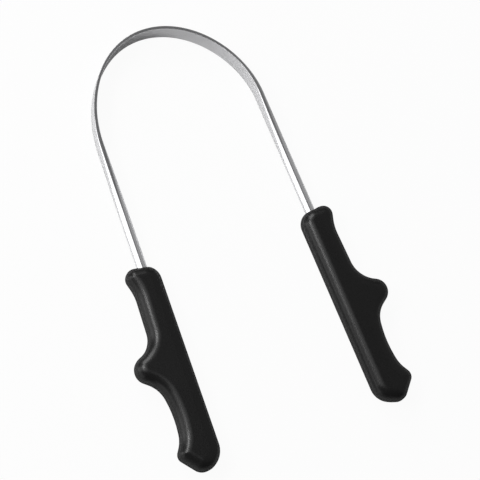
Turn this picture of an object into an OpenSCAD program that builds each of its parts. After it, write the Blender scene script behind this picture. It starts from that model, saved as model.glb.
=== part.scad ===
// Tongue scraper: one sprung loop of steel rod, pressed flat round its arch, in two moulded handles.
// It lies on the backs of its handles: X runs across, Y towards the arch and Z out of the front.

/* [Loop] */
// Distance between the centres of the two rods where they leave the handles
loop_w = 61.8; // [54:0.2:76]
// Reach of the loop, from the tops of the handles to the middle of its crown
loop_reach = 77.2; // [68:0.2:95]
// Length of each straight arm, from the top of its handle to the foot of the arch
arm_l = 43.6; // [36:0.2:48]
// Outward splay of each arm and its handle, in degrees
splay = 1.9; // [0:0.1:4]
// How far the crown leans to the left of the middle, as the loop was bent
crown_lean = 1.6; // [0:0.1:6]
// Straightness of the arch at its feet, as a share of its rise
foot_pull_share = 0.5; // [0.35:0.01:0.8]
// Breadth of the crown, as a share of half the width of the arch
crown_pull_share = 0.56; // [0.35:0.01:0.7]

/* [Steel] */
// Diameter of the round rod
rod_d = 3.5; // [2.6:0.1:4.2]
// Thickness of the flat scraping band
band_t = 1; // [0.6:0.05:1.6]
// Width of the flat scraping band
band_w = 9; // [6:0.1:9.4]
// Length of arm below the foot of the arch that is already being flattened
early_l = 30; // [8:0.5:32]
// Length along the rod from the first flattening to the full flat band
taper_l = 44; // [28:0.5:60]
// Length of rod that each handle hides
tang_l = 46; // [30:0.5:60]
// Length of the pinched end that keeps the handle from turning or pulling off
pinch_l = 9; // [5:0.5:14]
// Width of the pinched end
pinch_w = 5.2; // [4.4:0.1:6.4]
// Thickness of the pinched end
pinch_t = 2; // [1.4:0.1:2.6]

/* [Handles] */
// Length of each handle
handle_l = 72; // [66:0.5:90]
// Width of each handle, measured over its finger stop
handle_w = 19; // [17:0.1:24]
// Thickness of each handle
handle_t = 9.5; // [8.4:0.1:12]
// Rounding of the long edges of each handle
edge_r = 4; // [2:0.1:4.2]
// Distance from the straight inner edge of the handle to the centre of its rod
rod_inset = 5; // [4.4:0.1:6]
// Room between the moulded handle and the rod inside it
mould_gap = 0.05; // [0.02:0.01:0.2]

/* [Hidden] */
left = -1;
right = 1;

// Corners of the handle's outline, going round from the top of the straight inner edge. Each has its
// distance from that edge and its rounding as shares of handle_w, and between them its distance below
// the top as a share of handle_l.
outline_shares = [
    [0, -0.0075, 0.295],      // top inner corner
    [0.73, 0.0135, 0.225],    // flare above the upper finger hollow
    [0.545, -0.12, 0.835],    // start of the upper hollow
    [0.58, -0.3825, 0.465],   // upper hollow runs into the stop
    [1.2325, -0.4625, 0.245], // finger stop
    [0.67, -0.5725, 0.495],   // stop runs into the lower hollow
    [0.5725, -0.71, 2.09],    // lower hollow
    [0.6275, -0.8325, 0.585], // end of the lower hollow
    [0.805, -0.904, 0.225],   // flare below it
    [0.4535, -1.0075, 0.225], // tip
    [0.2415, -0.994, 0.4],    // rounded foot
    [0, -0.955, 0.37]         // bottom inner corner
];
corners = len(outline_shares);
stop = 4;
// The flat faces are divided past these corners, so that each part is seen whole from its first point
upper_part = 2;
middle_part = 6;
// Part of each stretch between two corners that their roundings may take up
free_share = 0.99;
// Part of the tightest corner, and of half the thickness, that the edge rounding may take up
edge_share = 0.95;
// Longest step of an outline corner, in degrees
corner_step = 9;
// Facets from the flat face round to the side wall
edge_steps = 8;

// Rings of the pressed stretch: along each straight foot and along each half of the arch
foot_steps = 14;
arch_steps = 36;
// Sides of a ring, an even number so that the flat faces are true
ring_sides = 24;
round_sides = 64;

rod_r = rod_d / 2;
// The pressed stretch starts this far down the round rod, and stands this proud of it, so that they merge
merge_l = rod_r / 2;
proud = mould_gap / 2;
// A cut runs past the surface that it opens by this much
overrun = rod_d;

arch_foot = [loop_w / 2 - arm_l * sin(splay), arm_l * cos(splay)];
arch_rise = loop_reach - arch_foot[1];
crown = [-crown_lean, loop_reach];

function unit(v) = v / norm(v);
function mixed(a, b, share) = a * (1 - share) + b * share;
function eased(share) = let (s = min(1, max(0, share))) s * s * (3 - 2 * s);
function wrapped(list, i) = list[(i + len(list)) % len(list)];

// Handle outline. A corner's rounding is an arc that is tangent to both of its straight stretches.
function corner_at(i) = let (c = wrapped(outline_shares, i))
    [c[0] * handle_w - rod_inset, c[1] * handle_l];
function to_next(i) = corner_at(i + 1) - corner_at(i);
function turn(i) = let (a = to_next(i - 1), b = to_next(i))
    atan2(a[0] * b[1] - a[1] * b[0], a * b);
function wanted_r(i) = wrapped(outline_shares, i)[2] * handle_w;
function wanted_run(i) = wanted_r(i) * tan(abs(turn(i)) / 2);
corner_fit = min([for (i = [0:corners - 1])
    min(1, free_share * norm(to_next(i)) / (wanted_run(i) + wanted_run(i + 1)))]);
function corner_r(i) = wanted_r(i) * corner_fit;
function bulges(i) = turn(i) < 0;
tightest_r = min([for (i = [0:corners - 1]) if (bulges(i)) corner_r(i)]);
rounding = min(edge_r, edge_share * tightest_r, edge_share * handle_t / 2);

function steps(i) = ceil(abs(turn(i)) / corner_step);
function last_point(i) = i < 0 ? -1 : last_point(i - 1) + steps(i) + 1;
inner_point = last_point(corners - 1) + 1;

// Points round one corner, with the outline drawn in by an inset
function corner_points(i, inset) = let (
    side = bulges(i) ? -1 : 1,
    start_dir = unit(to_next(i - 1)),
    start_normal = [-start_dir[1], start_dir[0]] * side,
    start = corner_at(i) - start_dir * corner_r(i) * tan(abs(turn(i)) / 2),
    centre = start + start_normal * corner_r(i),
    first = atan2(-start_normal[1], -start_normal[0]),
    r = corner_r(i) + side * inset)
    [for (k = [0:steps(i)]) let (angle = first + turn(i) * k / steps(i))
        centre + r * [cos(angle), sin(angle)]];
// The last point lies on the straight inner edge, level with the finger stop
function outline(inset) = [for (i = [0:corners - 1]) each corner_points(i, inset),
    [inset - rod_inset, corner_at(stop)[1]]];

// Levels from the front face to the back face, each with its inset and its height
function level(angle, side) = [rounding * (1 - cos(angle)),
    side * (handle_t / 2 - rounding + rounding * sin(angle))];
levels = concat([for (k = [edge_steps:-1:0]) level(90 * k / edge_steps, 1)],
    [for (k = [0:edge_steps]) level(90 * k / edge_steps, -1)]);

// Place of the whole part: the middle of its outline at the origin and the handles' backs on the ground
function placed_y(p) = p[0] * sin(splay) + p[1] * cos(splay);
lowest_y = min([for (p = outline(0)) placed_y(p)]);
highest_y = loop_reach + band_t / 2;
origin_y = (lowest_y + highest_y) / 2;
middle_z = handle_t / 2;

// Solid skin over rings of points. Every ring has the same number of points, and caps lists those of
// each part of an end face, from a point that sees the whole of its part.
module skin(rings, caps) {
    n = len(rings[0]);
    end = (len(rings) - 1) * n;
    sides = [for (i = [0:n:end - n], k = [0:n - 1]) [i + k, i + n + k, i + n + (k + 1) % n, i + (k + 1) % n]];
    end_caps = [for (cap = caps) [for (k = [0:len(cap) - 1]) end + wrapped(cap, -k)]];
    polyhedron(points = [for (ring = rings) each ring], faces = concat(sides, caps, end_caps));
}

// Pressed stretch of the loop. A stop is a point of the centreline and the way out of the loop there.
function foot_stops(side) = let (along = [-side * sin(splay), cos(splay)], l = early_l + merge_l)
    [for (k = [0:foot_steps - 1])
        [[side * arch_foot[0], arch_foot[1]] - along * l * (1 - k / foot_steps),
            [side * along[1], -side * along[0]]]];
function bezier(p, t) = p[0] * pow(1 - t, 3) + p[1] * 3 * pow(1 - t, 2) * t
    + p[2] * 3 * (1 - t) * pow(t, 2) + p[3] * pow(t, 3);
function bezier_way(p, t) = (p[1] - p[0]) * pow(1 - t, 2) + (p[2] - p[1]) * 2 * (1 - t) * t
    + (p[3] - p[2]) * pow(t, 2);
function half_arch(side) = let (foot = [side * arch_foot[0], arch_foot[1]])
    [foot, foot + [-side * sin(splay), cos(splay)] * foot_pull_share * arch_rise,
        crown + [side * crown_pull_share * arch_foot[0], 0], crown];
function arch_stops(side) = let (p = half_arch(side))
    [for (k = [0:arch_steps]) let (t = k / arch_steps, way = unit(bezier_way(p, t)))
        [bezier(p, t), [side * way[1], -side * way[0]]]];
function half_stops(side) = concat(foot_stops(side), arch_stops(side));
// How far each stop lies along the rod from the first one
function runs(stops) = [for (i = 0, run = 0; i < len(stops); i = i + 1,
    run = i < len(stops) ? run + norm(stops[i][0] - stops[i - 1][0]) : run) run];

// Section of the rod at a stop: flat faces with full round edges, a circle where nothing is pressed yet
function section(stop, pressed) = let (
    half_t = mixed(rod_r + proud, band_t / 2, pressed),
    half_w = mixed(rod_r + proud, band_w / 2, pressed),
    bulge = half_t / cos(180 / ring_sides))
    [for (k = [0:ring_sides - 1]) let (
        angle = 360 * (k + 1 / 2) / ring_sides,
        out = stop[0] + stop[1] * bulge * cos(angle))
        [out[0], out[1], bulge * sin(angle) + sign(sin(angle)) * (half_w - half_t)]];
function half_rings(side) = let (stops = half_stops(side), run = runs(stops))
    [for (i = [0:len(stops) - 1]) section(stops[i], eased((run[i] - merge_l) / taper_l))];

module pressed_stretch() {
    right_rings = half_rings(right);
    skin(concat(half_rings(left), [for (i = [len(right_rings) - 2:-1:0]) right_rings[i]]),
        [[for (k = [0:ring_sides - 1]) k]]);
}

// Pinched end of the rod, or with room the pocket that it fills in the handle
module pinched_end(room) {
    across = pinch_w - pinch_t;
    rotate([90, 0, 0])
        translate([0, 0, tang_l - pinch_l - rod_r])
            linear_extrude(pinch_l + rod_r + room) {
                square([across, pinch_t + 2 * room], center = true);
                for (side = [left, right])
                    translate([side * across / 2, 0]) circle(d = pinch_t + 2 * room, $fn = round_sides);
            }
}

// Straight round rod from its pinched end up to a height above the top of the handle
module round_rod(top, room) {
    rotate([90, 0, 0])
        translate([0, 0, -top])
            cylinder(h = top + tang_l - pinch_l, r = rod_r + room, $fn = round_sides);
    pinched_end(room);
}

// Puts a piece drawn on one rod's own line on its side of the loop
module on_side(side) {
    translate([side * loop_w / 2, -origin_y, middle_z])
        rotate([0, 0, side * splay])
            children();
}

module handle_body() {
    skin([for (at = levels) [for (p = outline(at[0])) [p[0], p[1], at[1]]]], [
        [for (k = [0:last_point(upper_part)]) k],
        [inner_point, 0, for (k = [last_point(upper_part):last_point(middle_part)]) k],
        [inner_point - 1, inner_point, for (k = [last_point(middle_part):inner_point - 2]) k]
    ]);
}

module handle() {
    difference() {
        handle_body();
        round_rod(overrun, mould_gap);
    }
}

module steel_loop() {
    color([0.78, 0.79, 0.8]) {
        translate([0, -origin_y, middle_z]) pressed_stretch();
        for (side = [left, right]) on_side(side) round_rod(arm_l - early_l, 0);
    }
}

module left_handle() {
    color([0.13, 0.13, 0.135]) on_side(left) mirror([1, 0, 0]) handle();
}

module right_handle() {
    color([0.13, 0.13, 0.135]) on_side(right) handle();
}

steel_loop();
left_handle();
right_handle();
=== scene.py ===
"""Tongue scraper: a sprung steel loop, pressed flat round its arch, in two moulded handles."""
import logging
import math
from dataclasses import dataclass, field
from enum import Enum
from typing import Any, ClassVar, Optional

import bmesh
import bpy
from mathutils import Matrix, Vector


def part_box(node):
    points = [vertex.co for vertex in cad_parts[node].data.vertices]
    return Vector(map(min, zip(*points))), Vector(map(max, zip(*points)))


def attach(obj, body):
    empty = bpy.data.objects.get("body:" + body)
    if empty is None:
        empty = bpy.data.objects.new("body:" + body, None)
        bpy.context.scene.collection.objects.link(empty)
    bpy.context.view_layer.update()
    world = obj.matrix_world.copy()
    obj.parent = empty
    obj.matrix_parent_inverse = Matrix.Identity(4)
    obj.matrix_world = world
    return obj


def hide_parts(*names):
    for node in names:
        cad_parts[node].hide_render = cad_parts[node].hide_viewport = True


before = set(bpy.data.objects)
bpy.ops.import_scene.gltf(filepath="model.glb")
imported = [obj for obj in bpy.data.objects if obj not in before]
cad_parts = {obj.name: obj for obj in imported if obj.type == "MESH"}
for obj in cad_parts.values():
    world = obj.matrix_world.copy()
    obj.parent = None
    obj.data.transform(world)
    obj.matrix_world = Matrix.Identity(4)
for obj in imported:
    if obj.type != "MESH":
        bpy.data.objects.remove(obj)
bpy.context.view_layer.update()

LOG = logging.getLogger("tongue_scraper")
MM = 0.001
IMAGE_SIDE = 480
BODY = "root"
# Most that one sample of light counts for, as a share of white: light straight from a lamp, and
# light by way of another surface. A thin dark line beside a bright highlight then stays whole,
# and isn't broken up by the few samples that meet the highlight
DIRECT_LIMIT = 1.0
MIRRORED_LIMIT = 2.0
# Range that nearly all of Blender's noise lies in
NOISE_LOW = 0.3
NOISE_HIGH = 0.7


class Side(Enum):
    """The two sides of the scraper, by the sign of X."""

    LEFT = -1
    RIGHT = 1


def linear(hex_colour: str) -> tuple[float, float, float, float]:
    """Turns an sRGB colour into the linear colour that a shader takes.

    Args:
        hex_colour: Six hex digits after a hash sign.

    Returns:
        Linear red, green and blue, and an alpha of 1.
    """
    parts = [int(hex_colour[i:i + 2], 16) / 255 for i in (1, 3, 5)]
    red, green, blue = (
        c / 12.92 if c <= 0.04045 else ((c + 0.055) / 1.055) ** 2.4 for c in parts
    )
    return (red, green, blue, 1.0)


def smooth(share: float) -> float:
    """Returns a share from 0 to 1 that leaves both of its ends gently."""
    kept = min(1.0, max(0.0, share))
    return kept * kept * (3 - 2 * kept)


def add(
    tree: bpy.types.NodeTree,
    kind: str,
    settings: Optional[dict[str, Any]] = None,
    inputs: Optional[dict[Any, Any]] = None,
) -> bpy.types.Node:
    """Adds one node to a tree.

    Args:
        tree: The tree that gets the node.
        kind: The node's type name.
        settings: Properties of the node.
        inputs: For each input, by name or number, a value or the socket that feeds it.

    Returns:
        The new node.
    """
    node = tree.nodes.new(kind)
    for name, value in (settings or {}).items():
        setattr(node, name, value)
    for name, value in (inputs or {}).items():
        if isinstance(value, bpy.types.NodeSocket):
            tree.links.new(value, node.inputs[name])
        else:
            node.inputs[name].default_value = value
    return node


def mesh_object(name: str, mesh: bpy.types.Mesh) -> bpy.types.Object:
    """Puts a mesh into the scene.

    Args:
        name: The new object's name.
        mesh: What it shows.

    Returns:
        The new object.
    """
    piece = bpy.data.objects.new(name, mesh)
    bpy.context.scene.collection.objects.link(piece)
    return piece


@dataclass(frozen=True)
class PolishedSteel:
    """Polished stainless steel rod: a bright mirror-like skin, softened along the length by the
    fine drawing and rolling marks that polishing leaves."""

    colour: str = "#EDEDEF"
    roughness: float = 0.16
    roughness_spread: float = 0.07
    # Real drawing marks are some 0.05 mm apart; they are drawn coarser here, to show at all
    mark_mm: float = 0.45
    mark_length_mm: float = 30.0
    mark_height_mm: float = 0.002
    mark_detail: float = 3.0
    mark_harshness: float = 0.6
    # Slow waves that rolling leaves in a pressed band
    wave_mm: float = 7.0
    wave_height_mm: float = 0.02
    wave_detail: float = 1.0

    def material(self) -> bpy.types.Material:
        """Makes the steel's material, which reads the coordinate along and round the rod.

        Returns:
            The new material.
        """
        made = bpy.data.materials.new("polished_stainless_steel")
        made.use_nodes = True
        tree = made.node_tree
        tree.nodes.clear()
        place = add(tree, "ShaderNodeAttribute", {"attribute_name": SteelLoop.COORDINATE})
        drawn = add(tree, "ShaderNodeMapping", {"vector_type": "POINT"}, {
            "Vector": place.outputs["Vector"],
            "Scale": (1 / self.mark_mm, 1 / self.mark_mm, 1 / self.mark_length_mm),
        })
        marks = add(tree, "ShaderNodeTexNoise", {"noise_dimensions": "3D"}, {
            "Vector": drawn.outputs["Vector"], "Scale": 1.0, "Detail": self.mark_detail,
            "Roughness": self.mark_harshness,
        })
        waves = add(tree, "ShaderNodeTexNoise", {"noise_dimensions": "3D"}, {
            "Vector": place.outputs["Vector"], "Scale": 1 / self.wave_mm,
            "Detail": self.wave_detail,
        })
        rough = add(tree, "ShaderNodeMapRange", {}, {
            "Value": marks.outputs["Fac"], "From Min": NOISE_LOW, "From Max": NOISE_HIGH,
            "To Min": self.roughness - self.roughness_spread / 2,
            "To Max": self.roughness + self.roughness_spread / 2,
        })
        fine = add(tree, "ShaderNodeBump", {}, {
            "Height": marks.outputs["Fac"], "Distance": self.mark_height_mm * MM,
        })
        slow = add(tree, "ShaderNodeBump", {}, {
            "Height": waves.outputs["Fac"], "Distance": self.wave_height_mm * MM,
            "Normal": fine.outputs["Normal"],
        })
        skin = add(tree, "ShaderNodeBsdfPrincipled", {}, {
            "Base Color": linear(self.colour), "Metallic": 1.0,
            "Roughness": rough.outputs["Result"], "Normal": slow.outputs["Normal"],
        })
        add(tree, "ShaderNodeOutputMaterial", {}, {"Surface": skin.outputs["BSDF"]})
        return made


@dataclass(frozen=True)
class SatinPlastic:
    """Satin black moulded polypropylene: deep and even in colour, with a soft broad gloss on its
    rounded edges from the finely eroded skin of its mould."""

    colour: str = "#131313"
    # A little paler where the moulding sank
    sunk_colour: str = "#161616"
    ior: float = 1.45
    gloss_level: float = 0.36
    roughness: float = 0.3
    roughness_spread: float = 0.06
    # Seen at a slant, the grain hides its own gloss
    graze_start: float = 0.4
    graze_roughness: float = 1.0
    # Blend at which a Layer Weight grows as the cosine of the slant falls
    graze_blend: float = 0.5
    # The grain of an eroded mould is some 0.1 mm; it is drawn coarser here, to show at all
    grain_mm: float = 0.35
    grain_height_mm: float = 0.004
    grain_detail: float = 2.0
    grain_harshness: float = 0.6
    # Slow sinking of a thick moulding as it cools
    sink_mm: float = 14.0
    sink_height_mm: float = 0.12
    sink_detail: float = 1.0

    def material(self) -> bpy.types.Material:
        """Makes the plastic's material.

        Returns:
            The new material.
        """
        made = bpy.data.materials.new("satin_black_polypropylene")
        made.use_nodes = True
        tree = made.node_tree
        tree.nodes.clear()
        place = add(tree, "ShaderNodeTexCoord")
        grain = add(tree, "ShaderNodeTexNoise", {"noise_dimensions": "3D"}, {
            "Vector": place.outputs["Object"], "Scale": 1 / (self.grain_mm * MM),
            "Detail": self.grain_detail, "Roughness": self.grain_harshness,
        })
        sink = add(tree, "ShaderNodeTexNoise", {"noise_dimensions": "3D"}, {
            "Vector": place.outputs["Object"], "Scale": 1 / (self.sink_mm * MM),
            "Detail": self.sink_detail,
        })
        shade = add(tree, "ShaderNodeMix", {"data_type": "RGBA"}, {
            0: sink.outputs["Fac"], 6: linear(self.colour), 7: linear(self.sunk_colour),
        })
        even = add(tree, "ShaderNodeMapRange", {}, {
            "Value": grain.outputs["Fac"], "From Min": NOISE_LOW, "From Max": NOISE_HIGH,
            "To Min": self.roughness - self.roughness_spread / 2,
            "To Max": self.roughness + self.roughness_spread / 2,
        })
        slant = add(tree, "ShaderNodeLayerWeight", {}, {"Blend": self.graze_blend})
        rough = add(tree, "ShaderNodeMapRange", {}, {
            "Value": slant.outputs["Facing"], "From Min": self.graze_start, "From Max": 1.0,
            "To Min": even.outputs["Result"], "To Max": self.graze_roughness,
        })
        fine = add(tree, "ShaderNodeBump", {}, {
            "Height": grain.outputs["Fac"], "Distance": self.grain_height_mm * MM,
        })
        slow = add(tree, "ShaderNodeBump", {}, {
            "Height": sink.outputs["Fac"], "Distance": self.sink_height_mm * MM,
            "Normal": fine.outputs["Normal"],
        })
        skin = add(tree, "ShaderNodeBsdfPrincipled", {}, {
            "Base Color": shade.outputs[2], "IOR": self.ior,
            "Specular IOR Level": self.gloss_level,
            "Roughness": rough.outputs["Result"], "Normal": slow.outputs["Normal"],
        })
        add(tree, "ShaderNodeOutputMaterial", {}, {"Surface": skin.outputs["BSDF"]})
        return made


@dataclass(frozen=True)
class SatinBoard:
    """Satin white board of the studio floor: it shows white to the camera and keeps the shadow,
    and its soft gloss lifts what steel mirrors of it at a slant."""

    colour: str = "#CDCDCD"
    roughness: float = 0.22
    ior: float = 1.6
    # Part of what the camera sees that is plain white, whatever light falls there
    white_share: float = 0.95
    reflected_white_share: float = 0.03

    def material(self) -> bpy.types.Material:
        """Makes the board's material.

        Returns:
            The new material.
        """
        made = bpy.data.materials.new("satin_white_board")
        made.use_nodes = True
        tree = made.node_tree
        tree.nodes.clear()
        ray = add(tree, "ShaderNodeLightPath")
        seen = add(tree, "ShaderNodeMath", {"operation": "MULTIPLY"}, {
            0: ray.outputs["Is Camera Ray"], 1: self.white_share,
        })
        mirrored = add(tree, "ShaderNodeMath", {"operation": "MULTIPLY_ADD"}, {
            0: ray.outputs["Is Glossy Ray"], 1: self.reflected_white_share,
            2: seen.outputs[0],
        })
        board = add(tree, "ShaderNodeBsdfPrincipled", {}, {
            "Base Color": linear(self.colour), "Roughness": self.roughness, "IOR": self.ior,
        })
        white = add(tree, "ShaderNodeEmission", {}, {"Strength": 1.0})
        mixed = add(tree, "ShaderNodeMixShader", {}, {
            0: mirrored.outputs[0], 1: board.outputs[0], 2: white.outputs[0],
        })
        add(tree, "ShaderNodeOutputMaterial", {}, {"Surface": mixed.outputs[0]})
        return made


@dataclass
class SteelLoop:
    """The sprung loop: round rod in the handles and the arms, pressed flat round the arch.

    Lengths are in millimetres, in the loop's own plane, from the tops of the handles. Angles are
    in degrees.
    """

    # Attribute of the finished mesh with each point's place in the section and along the rod
    COORDINATE: ClassVar[str] = "along_and_round"
    # What the points of the sweep carry while the loop is made, and as what
    CARRIED: ClassVar[dict[str, str]] = {
        "half_across": "FLOAT", "half_z": "FLOAT", "edge_r": "FLOAT", "run": "FLOAT",
        "across": "FLOAT_VECTOR", "centre": "FLOAT_VECTOR", "angle": "FLOAT",
    }
    # Kind of input that the tree has for each kind of value
    SOCKETS: ClassVar[dict[type, str]] = {
        Vector: "NodeSocketVector", float: "NodeSocketFloat", int: "NodeSocketInt",
    }

    loop_w: float = 61.8
    loop_reach: float = 77.2
    arm_l: float = 43.6
    splay: float = 1.9
    # The arch was bent by hand, and its crown is a little to the left
    crown_lean: float = 1.6
    # Reach of the curve's pulls, as shares of the arch's height and of its half width
    foot_pull_share: float = 0.5
    crown_pull_share: float = 0.56
    rod_d: float = 3.5
    band_t: float = 1.0
    band_w: float = 9.0
    band_edge_r: float = 0.14
    # The flattening starts this far below the arch's foot, and takes this long
    early_l: float = 30.0
    taper_l: float = 44.0
    # The edges take this long to turn from the rod's rounding to the band's
    squaring_l: float = 37.0
    # Rod inside a handle, with its end pinched flat to key the handle
    tang_l: float = 46.0
    pinch_l: float = 9.0
    pinch_w: float = 5.2
    pinch_t: float = 2.0
    pinch_blend: float = 3.0
    ring_step: float = 0.7
    ring_sides: int = 72
    arch_steps: int = 400
    # Points of the centre line nearer than this are one
    weld_gap: float = 0.001
    # Faces that meet at more than this show a crisp edge
    crisp_angle: float = 50.0

    def top_of_handle(self, side: Side) -> Vector:
        """Returns the point of the rod's centre line level with the top of its handle."""
        return Vector((side.value * self.loop_w / 2, 0, 0))

    def along(self, side: Side) -> Vector:
        """Returns the direction of one arm, towards the arch."""
        turn = math.radians(self.splay)
        return Vector((-side.value * math.sin(turn), math.cos(turn), 0))

    def foot(self, side: Side) -> Vector:
        """Returns the foot of the arch, where the straight arm ends."""
        return self.top_of_handle(side) + self.along(side) * self.arm_l

    def crown(self) -> Vector:
        """Returns the middle of the arch."""
        return Vector((-self.crown_lean, self.loop_reach, 0))

    def half_path(self, side: Side) -> dict[str, Vector]:
        """Lays out one half of the centre line.

        Args:
            side: The half wanted.

        Returns:
            Its points by name, in millimetres.
        """
        foot = self.foot(side)
        crown = self.crown()
        name = side.name.capitalize()
        return {
            f"{name} End": self.top_of_handle(side) - self.along(side) * self.tang_l,
            f"{name} Foot": foot,
            f"{name} Foot Pull": foot
            + self.along(side) * self.foot_pull_share * (crown.y - foot.y),
            f"{name} Crown Pull": crown + Vector((self.crown_pull_share * foot.x, 0, 0)),
        }

    def sizes(self, middle: Vector) -> dict[str, Any]:
        """Lists what the tree takes in.

        Args:
            middle: Where the loop's own origin lies, in metres.

        Returns:
            Values by the inputs' names.
        """
        start = self.tang_l + self.arm_l - self.early_l
        return {
            **self.half_path(Side.LEFT), **self.half_path(Side.RIGHT),
            "Crown": self.crown(), "Middle": middle, "Unit": MM,
            "Rod Radius": self.rod_d / 2,
            "Half Band Thickness": self.band_t / 2, "Half Band Width": self.band_w / 2,
            "Band Edge Radius": self.band_edge_r,
            "Flattening Start": start, "Flattening End": start + self.taper_l,
            "Squaring End": start + self.squaring_l,
            "Half Pinch Width": self.pinch_w / 2, "Half Pinch Thickness": self.pinch_t / 2,
            "Pinch Start": self.pinch_l - self.pinch_blend / 2,
            "Pinch End": self.pinch_l + self.pinch_blend / 2,
            "Ring Step": self.ring_step, "Ring Sides": self.ring_sides,
            "Arch Steps": self.arch_steps, "Weld Gap": self.weld_gap,
        }

    def centre_line(
        self, tree: bpy.types.NodeTree, size: bpy.types.NodeOutputs
    ) -> bpy.types.NodeSocket:
        """Lays a straight arm and a half arch on each side, and welds them into one run.

        Args:
            tree: The tree that gets the nodes.
            size: The tree's inputs.

        Returns:
            The line, with its points one step of the rings apart.
        """
        joined = add(tree, "GeometryNodeJoinGeometry")
        for side in Side:
            name = side.name.capitalize()
            arm = add(tree, "GeometryNodeCurvePrimitiveLine", {}, {
                "Start": size[f"{name} End"], "End": size[f"{name} Foot"],
            })
            arch = add(tree, "GeometryNodeCurvePrimitiveBezierSegment", {}, {
                "Resolution": size["Arch Steps"], "Start": size[f"{name} Foot"],
                "Start Handle": size[f"{name} Foot Pull"],
                "End Handle": size[f"{name} Crown Pull"], "End": size["Crown"],
            })
            for part in (arm, arch):
                tree.links.new(part.outputs[0], joined.inputs[0])
        threads = add(tree, "GeometryNodeCurveToMesh", {}, {0: joined.outputs[0]})
        welded = add(tree, "GeometryNodeMergeByDistance", {}, {
            "Geometry": threads.outputs[0], "Distance": size["Weld Gap"],
        })
        line = add(tree, "GeometryNodeMeshToCurve", {}, {0: welded.outputs[0]})
        return add(tree, "GeometryNodeResampleCurve", {"mode": "LENGTH"}, {
            "Curve": line.outputs[0], "Length": size["Ring Step"],
        }).outputs[0]

    def eased(
        self,
        tree: bpy.types.NodeTree,
        size: bpy.types.NodeOutputs,
        place: bpy.types.NodeSocket,
        stretch: tuple[str, str],
        change: tuple[str, str],
    ) -> bpy.types.NodeSocket:
        """Changes a size gently over a stretch of the rod.

        Args:
            tree: The tree that gets the node.
            size: The tree's inputs.
            place: Distance of each point from the nearer end of the rod.
            stretch: The inputs that say where the change starts and ends.
            change: The inputs that give the size before and after.

        Returns:
            The size at each point.
        """
        start, end = stretch
        before, after = change
        return add(tree, "ShaderNodeMapRange", {"interpolation_type": "SMOOTHSTEP"}, {
            "Value": place, "From Min": size[start], "From Max": size[end],
            "To Min": size[before], "To Max": size[after],
        }).outputs[0]

    def sections(
        self, tree: bpy.types.NodeTree, size: bpy.types.NodeOutputs
    ) -> dict[str, bpy.types.NodeSocket]:
        """Works out the rod's section at each point, from the distance to the rod's nearer end.

        Args:
            tree: The tree that gets the nodes.
            size: The tree's inputs.

        Returns:
            The place along the rod, the section's half sizes and its edges' rounding, by name.
        """
        run = add(tree, "GeometryNodeSplineParameter").outputs["Length"]
        whole = add(tree, "GeometryNodeSplineLength").outputs["Length"]
        rest = add(tree, "ShaderNodeMath", {"operation": "SUBTRACT"}, {0: whole, 1: run})
        place = add(tree, "ShaderNodeMath", {"operation": "MINIMUM"},
                    {0: run, 1: rest.outputs[0]}).outputs[0]
        found = {"run": run}
        for name, pinched, pressed in (
            ("half_across", "Half Pinch Width", "Half Band Thickness"),
            ("half_z", "Half Pinch Thickness", "Half Band Width"),
        ):
            low = self.eased(tree, size, place, ("Pinch Start", "Pinch End"),
                             (pinched, "Rod Radius"))
            high = self.eased(tree, size, place, ("Flattening Start", "Flattening End"),
                              ("Rod Radius", pressed))
            both = add(tree, "ShaderNodeMath", {"operation": "ADD"}, {0: low, 1: high})
            found[name] = add(tree, "ShaderNodeMath", {"operation": "SUBTRACT"},
                              {0: both.outputs[0], 1: size["Rod Radius"]}).outputs[0]
        softened = self.eased(tree, size, place, ("Flattening Start", "Squaring End"),
                              ("Rod Radius", "Band Edge Radius"))
        narrower = add(tree, "ShaderNodeMath", {"operation": "MINIMUM"},
                       {0: found["half_across"], 1: found["half_z"]})
        found["edge_r"] = add(tree, "ShaderNodeMath", {"operation": "MINIMUM"},
                              {0: narrower.outputs[0], 1: softened}).outputs[0]
        return found

    def measured_line(
        self, tree: bpy.types.NodeTree, size: bpy.types.NodeOutputs
    ) -> bpy.types.NodeSocket:
        """Gives each point of the centre line what its ring needs.

        Args:
            tree: The tree that gets the nodes.
            size: The tree's inputs.

        Returns:
            The line with its section, place and direction across stored at each point.
        """
        way = add(tree, "GeometryNodeInputTangent").outputs[0]
        found = self.sections(tree, size)
        found["across"] = add(tree, "ShaderNodeVectorMath", {"operation": "CROSS_PRODUCT"},
                              {0: way, 1: (0, 0, 1)}).outputs[0]
        found["centre"] = add(tree, "GeometryNodeInputPosition").outputs[0]
        line = self.centre_line(tree, size)
        for name, value in found.items():
            line = add(tree, "GeometryNodeStoreNamedAttribute",
                       {"data_type": self.CARRIED[name], "domain": "POINT"},
                       {"Geometry": line, "Name": name, "Value": value}).outputs[0]
        return line

    def swept(
        self, tree: bpy.types.NodeTree, size: bpy.types.NodeOutputs
    ) -> bpy.types.NodeSocket:
        """Sweeps a ring, whose points know their angle, along the centre line.

        Args:
            tree: The tree that gets the nodes.
            size: The tree's inputs.

        Returns:
            The closed skin, with all its rings still round.
        """
        ring = add(tree, "GeometryNodeCurvePrimitiveCircle", {"mode": "RADIUS"}, {
            "Resolution": size["Ring Sides"], "Radius": 1.0,
        })
        point = add(tree, "GeometryNodeInputIndex").outputs[0]
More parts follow.
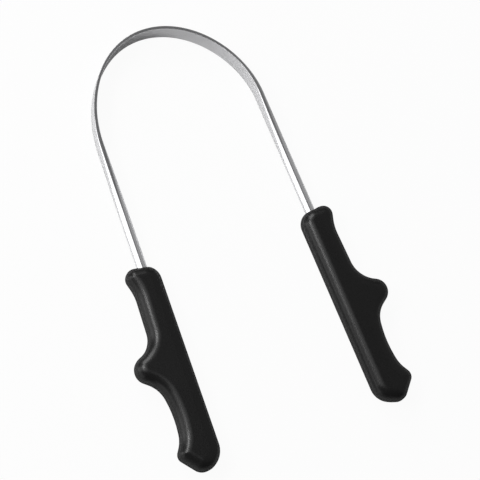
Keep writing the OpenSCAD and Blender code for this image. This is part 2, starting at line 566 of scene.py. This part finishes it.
        # Half a side on, so that no point lies in the middle of a flat
        turned = add(tree, "ShaderNodeMath", {"operation": "ADD"}, {0: point, 1: 0.5})
        share = add(tree, "ShaderNodeMath", {"operation": "DIVIDE"},
                    {0: turned.outputs[0], 1: size["Ring Sides"]})
        angle = add(tree, "ShaderNodeMath", {"operation": "MULTIPLY"},
                    {0: share.outputs[0], 1: 2 * math.pi})
        marked = add(tree, "GeometryNodeStoreNamedAttribute",
                     {"data_type": self.CARRIED["angle"], "domain": "POINT"},
                     {"Geometry": ring.outputs[0], "Name": "angle",
                      "Value": angle.outputs[0]})
        return add(tree, "GeometryNodeCurveToMesh", {}, {
            "Curve": self.measured_line(tree, size), "Profile Curve": marked.outputs[0],
            "Fill Caps": True,
        }).outputs[0]

    def in_section(
        self,
        tree: bpy.types.NodeTree,
        read: dict[str, bpy.types.NodeSocket],
        wave: str,
        half: str,
    ) -> bpy.types.NodeSocket:
        """Places each point along one axis of its section: a circle where nothing is pressed,
        and two flats with rounded corners elsewhere.

        Args:
            tree: The tree that gets the nodes.
            read: What the points carry, by name.
            wave: The wave of the angle that belongs to the axis.
            half: Name of the section's half size along the axis.

        Returns:
            The distance of each point from the centre line along the axis.
        """
        swing = add(tree, "ShaderNodeMath", {"operation": wave}, {0: read["angle"]})
        bend = add(tree, "ShaderNodeMath", {"operation": "MULTIPLY"},
                   {0: swing.outputs[0], 1: read["edge_r"]})
        flat = add(tree, "ShaderNodeMath", {"operation": "SUBTRACT"},
                   {0: read[half], 1: read["edge_r"]})
        way = add(tree, "ShaderNodeMath", {"operation": "SIGN"}, {0: swing.outputs[0]})
        return add(tree, "ShaderNodeMath", {"operation": "MULTIPLY_ADD"}, {
            0: way.outputs[0], 1: flat.outputs[0], 2: bend.outputs[0],
        }).outputs[0]

    def pressed(
        self, tree: bpy.types.NodeTree, size: bpy.types.NodeOutputs
    ) -> bpy.types.NodeSocket:
        """Presses each ring of the sweep to its section, and puts the loop in its place.

        Args:
            tree: The tree that gets the nodes.
            size: The tree's inputs.

        Returns:
            The finished skin, with the coordinate that the steel's pattern reads.
        """
        read = {
            name: add(tree, "GeometryNodeInputNamedAttribute", {"data_type": kind},
                      {"Name": name}).outputs["Attribute"]
            for name, kind in self.CARRIED.items()
        }
        across_part = self.in_section(tree, read, "COSINE", "half_across")
        z_part = self.in_section(tree, read, "SINE", "half_z")
        sideways = add(tree, "ShaderNodeVectorMath", {"operation": "SCALE"},
                       {0: read["across"], "Scale": across_part})
        upwards = add(tree, "ShaderNodeCombineXYZ", {}, {"Z": z_part})
        section = add(tree, "ShaderNodeVectorMath", {"operation": "ADD"},
                      {0: sideways.outputs[0], 1: upwards.outputs[0]})
        on_line = add(tree, "ShaderNodeVectorMath", {"operation": "ADD"},
                      {0: section.outputs[0], 1: read["centre"]})
        scaled = add(tree, "ShaderNodeVectorMath", {"operation": "SCALE"},
                     {0: on_line.outputs[0], "Scale": size["Unit"]})
        placed = add(tree, "ShaderNodeVectorMath", {"operation": "ADD"},
                     {0: scaled.outputs[0], 1: size["Middle"]})
        shaped = add(tree, "GeometryNodeSetPosition", {}, {
            "Geometry": self.swept(tree, size), "Position": placed.outputs[0],
        })
        # The sweep comes out with its faces inwards
        faced = add(tree, "GeometryNodeFlipFaces", {}, {"Mesh": shaped.outputs[0]})
        pattern = add(tree, "ShaderNodeCombineXYZ", {},
                      {"X": across_part, "Y": z_part, "Z": read["run"]})
        skin = add(tree, "GeometryNodeStoreNamedAttribute",
                   {"data_type": "FLOAT_VECTOR", "domain": "POINT"},
                   {"Geometry": faced.outputs[0], "Name": self.COORDINATE,
                    "Value": pattern.outputs[0]}).outputs[0]
        for name in self.CARRIED:
            skin = add(tree, "GeometryNodeRemoveAttribute", {},
                       {"Geometry": skin, "Name": name}).outputs[0]
        return skin

    def node_tree(
        self, values: dict[str, Any], finish: bpy.types.Material
    ) -> bpy.types.NodeTree:
        """Builds the node tree that makes the loop.

        Args:
            values: What the tree takes in, by name.
            finish: The steel's material.

        Returns:
            The tree, with an input for each value.
        """
        tree = bpy.data.node_groups.new("pressed_loop", "GeometryNodeTree")
        for name, value in values.items():
            tree.interface.new_socket(
                name, in_out="INPUT", socket_type=self.SOCKETS[type(value)])
        tree.interface.new_socket("Geometry", in_out="OUTPUT", socket_type="NodeSocketGeometry")
        size = add(tree, "NodeGroupInput").outputs
        dressed = add(tree, "GeometryNodeSetMaterial", {},
                      {"Geometry": self.pressed(tree, size), "Material": finish})
        add(tree, "NodeGroupOutput", {}, {"Geometry": dressed.outputs[0]})
        return tree

    def build(self, middle: Vector, finish: bpy.types.Material) -> bpy.types.Object:
        """Makes the loop as a plain mesh.

        Args:
            middle: Where the loop's own origin lies, in metres.
            finish: The steel's material.

        Returns:
            The finished piece.
        """
        values = self.sizes(middle)
        tree = self.node_tree(values, finish)
        maker = mesh_object("loop_maker", bpy.data.meshes.new("loop_maker"))
        sweep = maker.modifiers.new("sweep", "NODES")
        sweep.node_group = tree
        for socket in tree.interface.items_tree:
            if socket.in_out == "INPUT":
                sweep[socket.identifier] = values[socket.name]
        evaluated = maker.evaluated_get(bpy.context.evaluated_depsgraph_get())
        mesh = bpy.data.meshes.new_from_object(evaluated)
        bpy.data.objects.remove(maker)
        mesh.name = "polished_loop"
        mesh.set_sharp_from_angle(angle=math.radians(self.crisp_angle))
        piece = mesh_object("polished_loop", mesh)
        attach(piece, BODY)
        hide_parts("steel_loop")
        return piece


@dataclass
class Grip:
    """One moulded handle, with a finger hollow on each side of its finger stop.

    Lengths are in millimetres, from the point where the rod enters the handle's top. Y runs up the
    rod, and X away from the middle of the scraper.
    """

    # Corners of the outline: distance from the straight inner edge as a share of the width, place
    # along the handle as a share of its length, and rounding as a share of the width. The two real
    # handles differ by up to 0.4 mm at a few corners, so each has its own. The values are a least
    # squares fit to the photograph's outlines, made by a scratch program and then rounded
    CORNER_SHARES: ClassVar[dict[Side, tuple[tuple[float, float, float], ...]]] = {
        Side.LEFT: (
            (0.0, -0.005, 0.29), (0.675, 0.0025, 0.17), (0.545, -0.12, 0.885),
            (0.575, -0.38, 0.44), (1.24, -0.4575, 0.255), (0.67, -0.5725, 0.53),
            (0.57, -0.71, 2.08), (0.625, -0.835, 0.59), (0.79, -0.905, 0.15),
            (0.455, -1.0075, 0.225), (0.23, -1.0, 0.29), (0.0, -0.9525, 0.405),
        ),
        Side.RIGHT: (
            (0.0, 0.0, 0.275), (0.675, -0.0025, 0.17), (0.55, -0.12, 0.85),
            (0.58, -0.385, 0.5), (1.225, -0.4675, 0.24), (0.665, -0.575, 0.475),
            (0.575, -0.71, 2.08), (0.635, -0.835, 0.58), (0.79, -0.9075, 0.15),
            (0.46, -1.01, 0.2), (0.245, -0.99, 0.4), (-0.005, -0.9575, 0.35),
        ),
    }

    side: Side
    length: float = 72.0
    width: float = 19.0
    thickness: float = 9.5
    edge_r: float = 4.0
    # Distance of the rod's centre line from the straight inner edge
    rod_inset: float = 5.0
    # The plastic sinks a little round the rod that it is moulded on
    sink_depth: float = 0.35
    sink_reach: float = 1.6
    # Most between two points: degrees of a rounded corner, millimetres of a straight side
    corner_step: float = 4.0
    side_step: float = 0.6
    # Steps of each rounded edge, and of the wall between the two
    edge_steps: int = 14
    wall_steps: int = 3
    # The flat faces start this far inside the rounded edge
    flat_margin: float = 0.15
    # Least rounding of a corner where the rounded edge draws it in
    mitre_r: float = 0.5
    outline_corners: list[Vector] = field(init=False)

    def __post_init__(self) -> None:
        """Turns the shares into places."""
        self.outline_corners = [
            Vector((x * self.width - self.rod_inset, y * self.length))
            for x, y, _ in self.CORNER_SHARES[self.side]
        ]

    def outline(self, inset: float) -> list[list[Vector]]:
        """Draws the outline, in by an inset, with the same number of points for any inset.

        Args:
            inset: Distance inwards from the true outline.

        Returns:
            The points of each corner's arc, corner by corner round the handle.
        """
        count = len(self.outline_corners)
        arcs = []
        for i, corner in enumerate(self.outline_corners):
            before = (corner - self.outline_corners[i - 1]).normalized()
            after = (self.outline_corners[(i + 1) % count] - corner).normalized()
            turn = math.atan2(before.cross(after), before.dot(after))
            # The rounding shrinks with the inset where a corner stands out, and grows in a hollow
            sign = -1 if turn < 0 else 1
            normal = Vector((-before.y, before.x)) * sign
            leaving = Vector((-after.y, after.x)) * sign
            mitre = (normal + leaving) / (1 + normal.dot(leaving))
            drawn = self.CORNER_SHARES[self.side][i][2] * self.width + sign * inset
            drawn = max(drawn, self.mitre_r)
            centre = corner + mitre * (drawn - sign * inset)
            first = math.atan2(-normal.y, -normal.x)
            steps = math.ceil(abs(math.degrees(turn)) / self.corner_step)
            arcs.append([
                centre + drawn * Vector((math.cos(a), math.sin(a)))
                for a in (first + turn * k / steps for k in range(steps + 1))
            ])
        return arcs

    def ring(self, inset: float) -> list[Vector]:
        """Joins the arcs to one closed ring, with the straight stretches between them divided.

        Args:
            inset: Distance inwards from the true outline.

        Returns:
            The ring's points.
        """
        true_arcs = self.outline(0)
        arcs = self.outline(inset)
        points: list[Vector] = []
        for i, arc in enumerate(arcs):
            points += arc
            following = (i + 1) % len(arcs)
            gap = (true_arcs[following][0] - true_arcs[i][-1]).length
            parts = max(1, math.ceil(gap / self.side_step))
            start, end = arc[-1], arcs[following][0]
            points += [start.lerp(end, k / parts) for k in range(1, parts)]
        return points

    def levels(self) -> list[tuple[float, float]]:
        """Lays out the rings, from the front face to the back face.

        Returns:
            Each ring's inset, and its height from the middle of the handle's thickness.
        """
        half = self.thickness / 2
        r = self.edge_r
        quarter = [
            (r * (1 - math.cos(a)), half - r + r * math.sin(a))
            for a in (math.pi / 2 * k / self.edge_steps for k in range(self.edge_steps, -1, -1))
        ]
        flat = (r + self.flat_margin, half)
        top = [flat] + quarter
        wall = [
            (0.0, (half - r) * (1 - 2 * k / self.wall_steps)) for k in range(1, self.wall_steps)
        ]
        return top + wall + [(inset, -z) for inset, z in reversed(top)]

    def sunk(self, x: float, y: float, z: float, rod_r: float) -> float:
        """Lowers a point of the handle's top where it is near the rod.

        Args:
            x: The point's distance from the rod's centre line, across.
            y: Its height along the rod.
            z: Its height from the middle of the handle's thickness.
            rod_r: The rod's radius.

        Returns:
            Its new height along the rod.
        """
        if y < -self.edge_r:
            return y
        near = 1 - smooth((math.hypot(x, z) - rod_r) / self.sink_reach)
        return y - self.sink_depth * near

    def build(
        self, loop: SteelLoop, middle: Vector, finish: bpy.types.Material
    ) -> bpy.types.Object:
        """Makes the handle on its arm of the loop.

        Args:
            loop: The steel loop, which sets the handle's place and splay.
            middle: Where the loop's own origin lies, in metres.
            finish: The plastic's material.

        Returns:
            The finished piece.
        """
        way = loop.along(self.side)
        across = Vector((way.y, -way.x, 0)) * self.side.value
        top = loop.top_of_handle(self.side)
        shape = bmesh.new()
        rings = []
        for inset, z in self.levels():
            ring = []
            for point in self.ring(inset):
                y = self.sunk(point.x, point.y, z, loop.rod_d / 2)
                spot = top + across * point.x + way * y + Vector((0, 0, z))
                ring.append(shape.verts.new(spot * MM + middle))
            rings.append(ring)
        for upper, lower in zip(rings, rings[1:]):
            for k in range(len(upper)):
                following = (k + 1) % len(upper)
                shape.faces.new((upper[k], upper[following], lower[following], lower[k]))
        shape.faces.new(rings[0])
        shape.faces.new(list(reversed(rings[-1])))
        bmesh.ops.recalc_face_normals(shape, faces=shape.faces)
        for face in shape.faces:
            face.smooth = True
        mesh = bpy.data.meshes.new(f"{self.side.name.lower()}_grip")
        shape.to_mesh(mesh)
        shape.free()
        mesh.materials.append(finish)
        piece = mesh_object(mesh.name, mesh)
        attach(piece, BODY)
        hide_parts(f"{self.side.name.lower()}_handle")
        return piece


@dataclass
class SoftLight:
    """A soft panel of light that faces the part.

    The level is the panel's power in watts by square metre, over pi, so panels of one level look
    equally bright at any size. Lengths are in metres. Angles are in degrees: the azimuth from the
    ends of the handles round to the right, and the elevation from the floor.
    """

    name: str
    level: float
    width: float
    height: float
    azimuth: float
    elevation: float
    distance: float

    def build(self) -> bpy.types.Object:
        """Hangs the panel, facing the frame's origin under the part.

        Returns:
            The panel.
        """
        data = bpy.data.lights.new(self.name, "AREA")
        data.shape = "RECTANGLE"
        data.size, data.size_y = self.width, self.height
        data.energy = self.level * math.pi * self.width * self.height
        turn, rise = math.radians(self.azimuth), math.radians(self.elevation)
        out = Vector((math.sin(turn) * math.cos(rise), -math.cos(turn) * math.cos(rise),
                      math.sin(rise)))
        panel = bpy.data.objects.new(self.name, data)
        panel.location = out * self.distance
        panel.rotation_euler = out.to_track_quat("Z", "Y").to_euler()
        bpy.context.scene.collection.objects.link(panel)
        return panel


@dataclass
class Studio:
    """The pale floor, the soft lights and the dim room round them. Lengths are in metres."""

    floor_side: float = 6.0
    floor_drop: float = 0.0001
    room_colour: str = "#FFFFFF"
    room_level: float = 0.1
    # Part of what polished steel mirrors of the room that is the white background
    reflected_white_share: float = 0.03
    board: SatinBoard = SatinBoard()
    lights: tuple[SoftLight, ...] = (
        # Small and bright: the thin highlights on the handles' left edges, and the band's shine
        SoftLight("key_panel", level=14.2, width=0.16, height=0.12,
                  azimuth=-118, elevation=52, distance=0.5),
        # Large: the white face of the rods, and the soft sheen beside the handles' highlights
        SoftLight("side_panel", level=1.5, width=0.42, height=1.6,
                  azimuth=-109, elevation=43, distance=0.8),
        # Low at the left: a faint line along the handles' upright walls
        SoftLight("low_panel", level=1.0, width=1.1, height=0.3,
                  azimuth=-86, elevation=9, distance=0.8),
        # Behind the arch: the tops of the handles, the left finger stop and the band's left side
        SoftLight("back_panel", level=6.0, width=0.5, height=0.5,
                  azimuth=-167, elevation=38, distance=0.9),
        # Dim wall at the right: the grey strip along the rods and the handles' right edges
        SoftLight("far_wall", level=0.2, width=1.8, height=1.6,
                  azimuth=82, elevation=32, distance=1.0),
    )

    def build_floor(self) -> bpy.types.Object:
        """Lays the floor just under the handles.

        Returns:
            The floor.
        """
        half = self.floor_side / 2
        mesh = bpy.data.meshes.new("studio_floor")
        mesh.from_pydata(
            [(x * half, y * half, -self.floor_drop)
             for x, y in ((-1, -1), (1, -1), (1, 1), (-1, 1))], [], [(0, 1, 2, 3)])
        mesh.materials.append(self.board.material())
        floor = mesh_object("studio_floor", mesh)
        return floor

    def build_room(self) -> bpy.types.World:
        """Makes the world: white to the camera, and a plain dim light on the object.

        Returns:
            The world.
        """
        world = bpy.data.worlds.new("studio_room")
        world.use_nodes = True
        tree = world.node_tree
        tree.nodes.clear()
        ray = add(tree, "ShaderNodeLightPath")
        dim = add(tree, "ShaderNodeBackground", {}, {
            "Color": linear(self.room_colour), "Strength": self.room_level,
        })
        white = add(tree, "ShaderNodeBackground", {}, {
            "Color": linear(self.room_colour), "Strength": 1.0,
        })
        seen = add(tree, "ShaderNodeMath", {"operation": "MULTIPLY_ADD"}, {
            0: ray.outputs["Is Glossy Ray"], 1: self.reflected_white_share,
            2: ray.outputs["Is Camera Ray"],
        })
        mixed = add(tree, "ShaderNodeMixShader", {}, {
            0: seen.outputs[0], 1: dim.outputs[0], 2: white.outputs[0],
        })
        add(tree, "ShaderNodeOutputWorld", {}, {"Surface": mixed.outputs[0]})
        bpy.context.scene.world = world
        return world

    def build(self) -> None:
        """Sets up the whole studio."""
        self.build_floor()
        self.build_room()
        for light in self.lights:
            light.build()


@dataclass
class PhotoCamera:
    """The photograph's camera, by its turn round the part, its height and its own roll.

    The values are a scratch program's fit to the outlines of both handles. Other cameras fit them
    about as well, and this one was picked by the shading of the plastic.
    Angles are in degrees and lengths in metres, but for the sensor's width in millimetres.
    """

    azimuth: float = -52.576
    elevation: float = 72.276
    roll: float = 32.545
    distance: float = 0.87377
    focal_pixels: float = 2575.6
    # From the loop's own origin
    aim: Vector = field(default_factory=lambda: Vector((4.269, -1.9764, 0)) * MM)
    sensor: float = 36.0

    def build(self, middle: Vector) -> bpy.types.Object:
        """Makes the camera and gives it to the scene.

        Args:
            middle: Where the loop's own origin lies, in metres.

        Returns:
            The camera, which looks at its aim beside that point.
        """
        turn, rise = math.radians(self.azimuth), math.radians(self.elevation)
        back = Vector((math.sin(turn) * math.cos(rise), -math.cos(turn) * math.cos(rise),
                       math.sin(rise)))
        across = Vector((math.cos(turn), math.sin(turn), 0))
        upward = back.cross(across)
        data = bpy.data.cameras.new("photo_camera")
        data.sensor_width = self.sensor
        data.lens = self.focal_pixels * self.sensor / IMAGE_SIDE
        camera = bpy.data.objects.new("photo_camera", data)
        facing = Matrix((across, upward, back)).transposed().to_4x4()
        place = Matrix.Translation(middle + self.aim + back * self.distance)
        camera.matrix_world = place @ facing @ Matrix.Rotation(math.radians(self.roll), 4, "Z")
        bpy.context.scene.collection.objects.link(camera)
        bpy.context.scene.camera = camera
        return camera


def report(piece: bpy.types.Object) -> None:
    """Logs one finished piece with its number of faces."""
    LOG.info("%s: %d faces", piece.name, len(piece.data.polygons))


def main() -> None:
    """Builds the camera, the pieces and the studio, in that order."""
    logging.basicConfig(level=logging.INFO, format="%(name)s: %(message)s")
    scene = bpy.context.scene
    scene.view_settings.view_transform = "Standard"
    scene.cycles.sample_clamp_direct = DIRECT_LIMIT
    scene.cycles.sample_clamp_indirect = MIRRORED_LIMIT
    loop = SteelLoop()
    # The loop's own origin is level with the tops of the handles, below the crown's outer face
    lowest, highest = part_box("steel_loop")
    top_y = highest.y - (loop.loop_reach + loop.band_t / 2) * MM
    middle = Vector((0, top_y, (lowest.z + highest.z) / 2))
    PhotoCamera().build(middle)
    steel = PolishedSteel().material()
    plastic = SatinPlastic().material()
    report(loop.build(middle, steel))
    for side in Side:
        report(Grip(side).build(loop, middle, plastic))
    Studio().build()


if __name__ == "__main__":
    main()
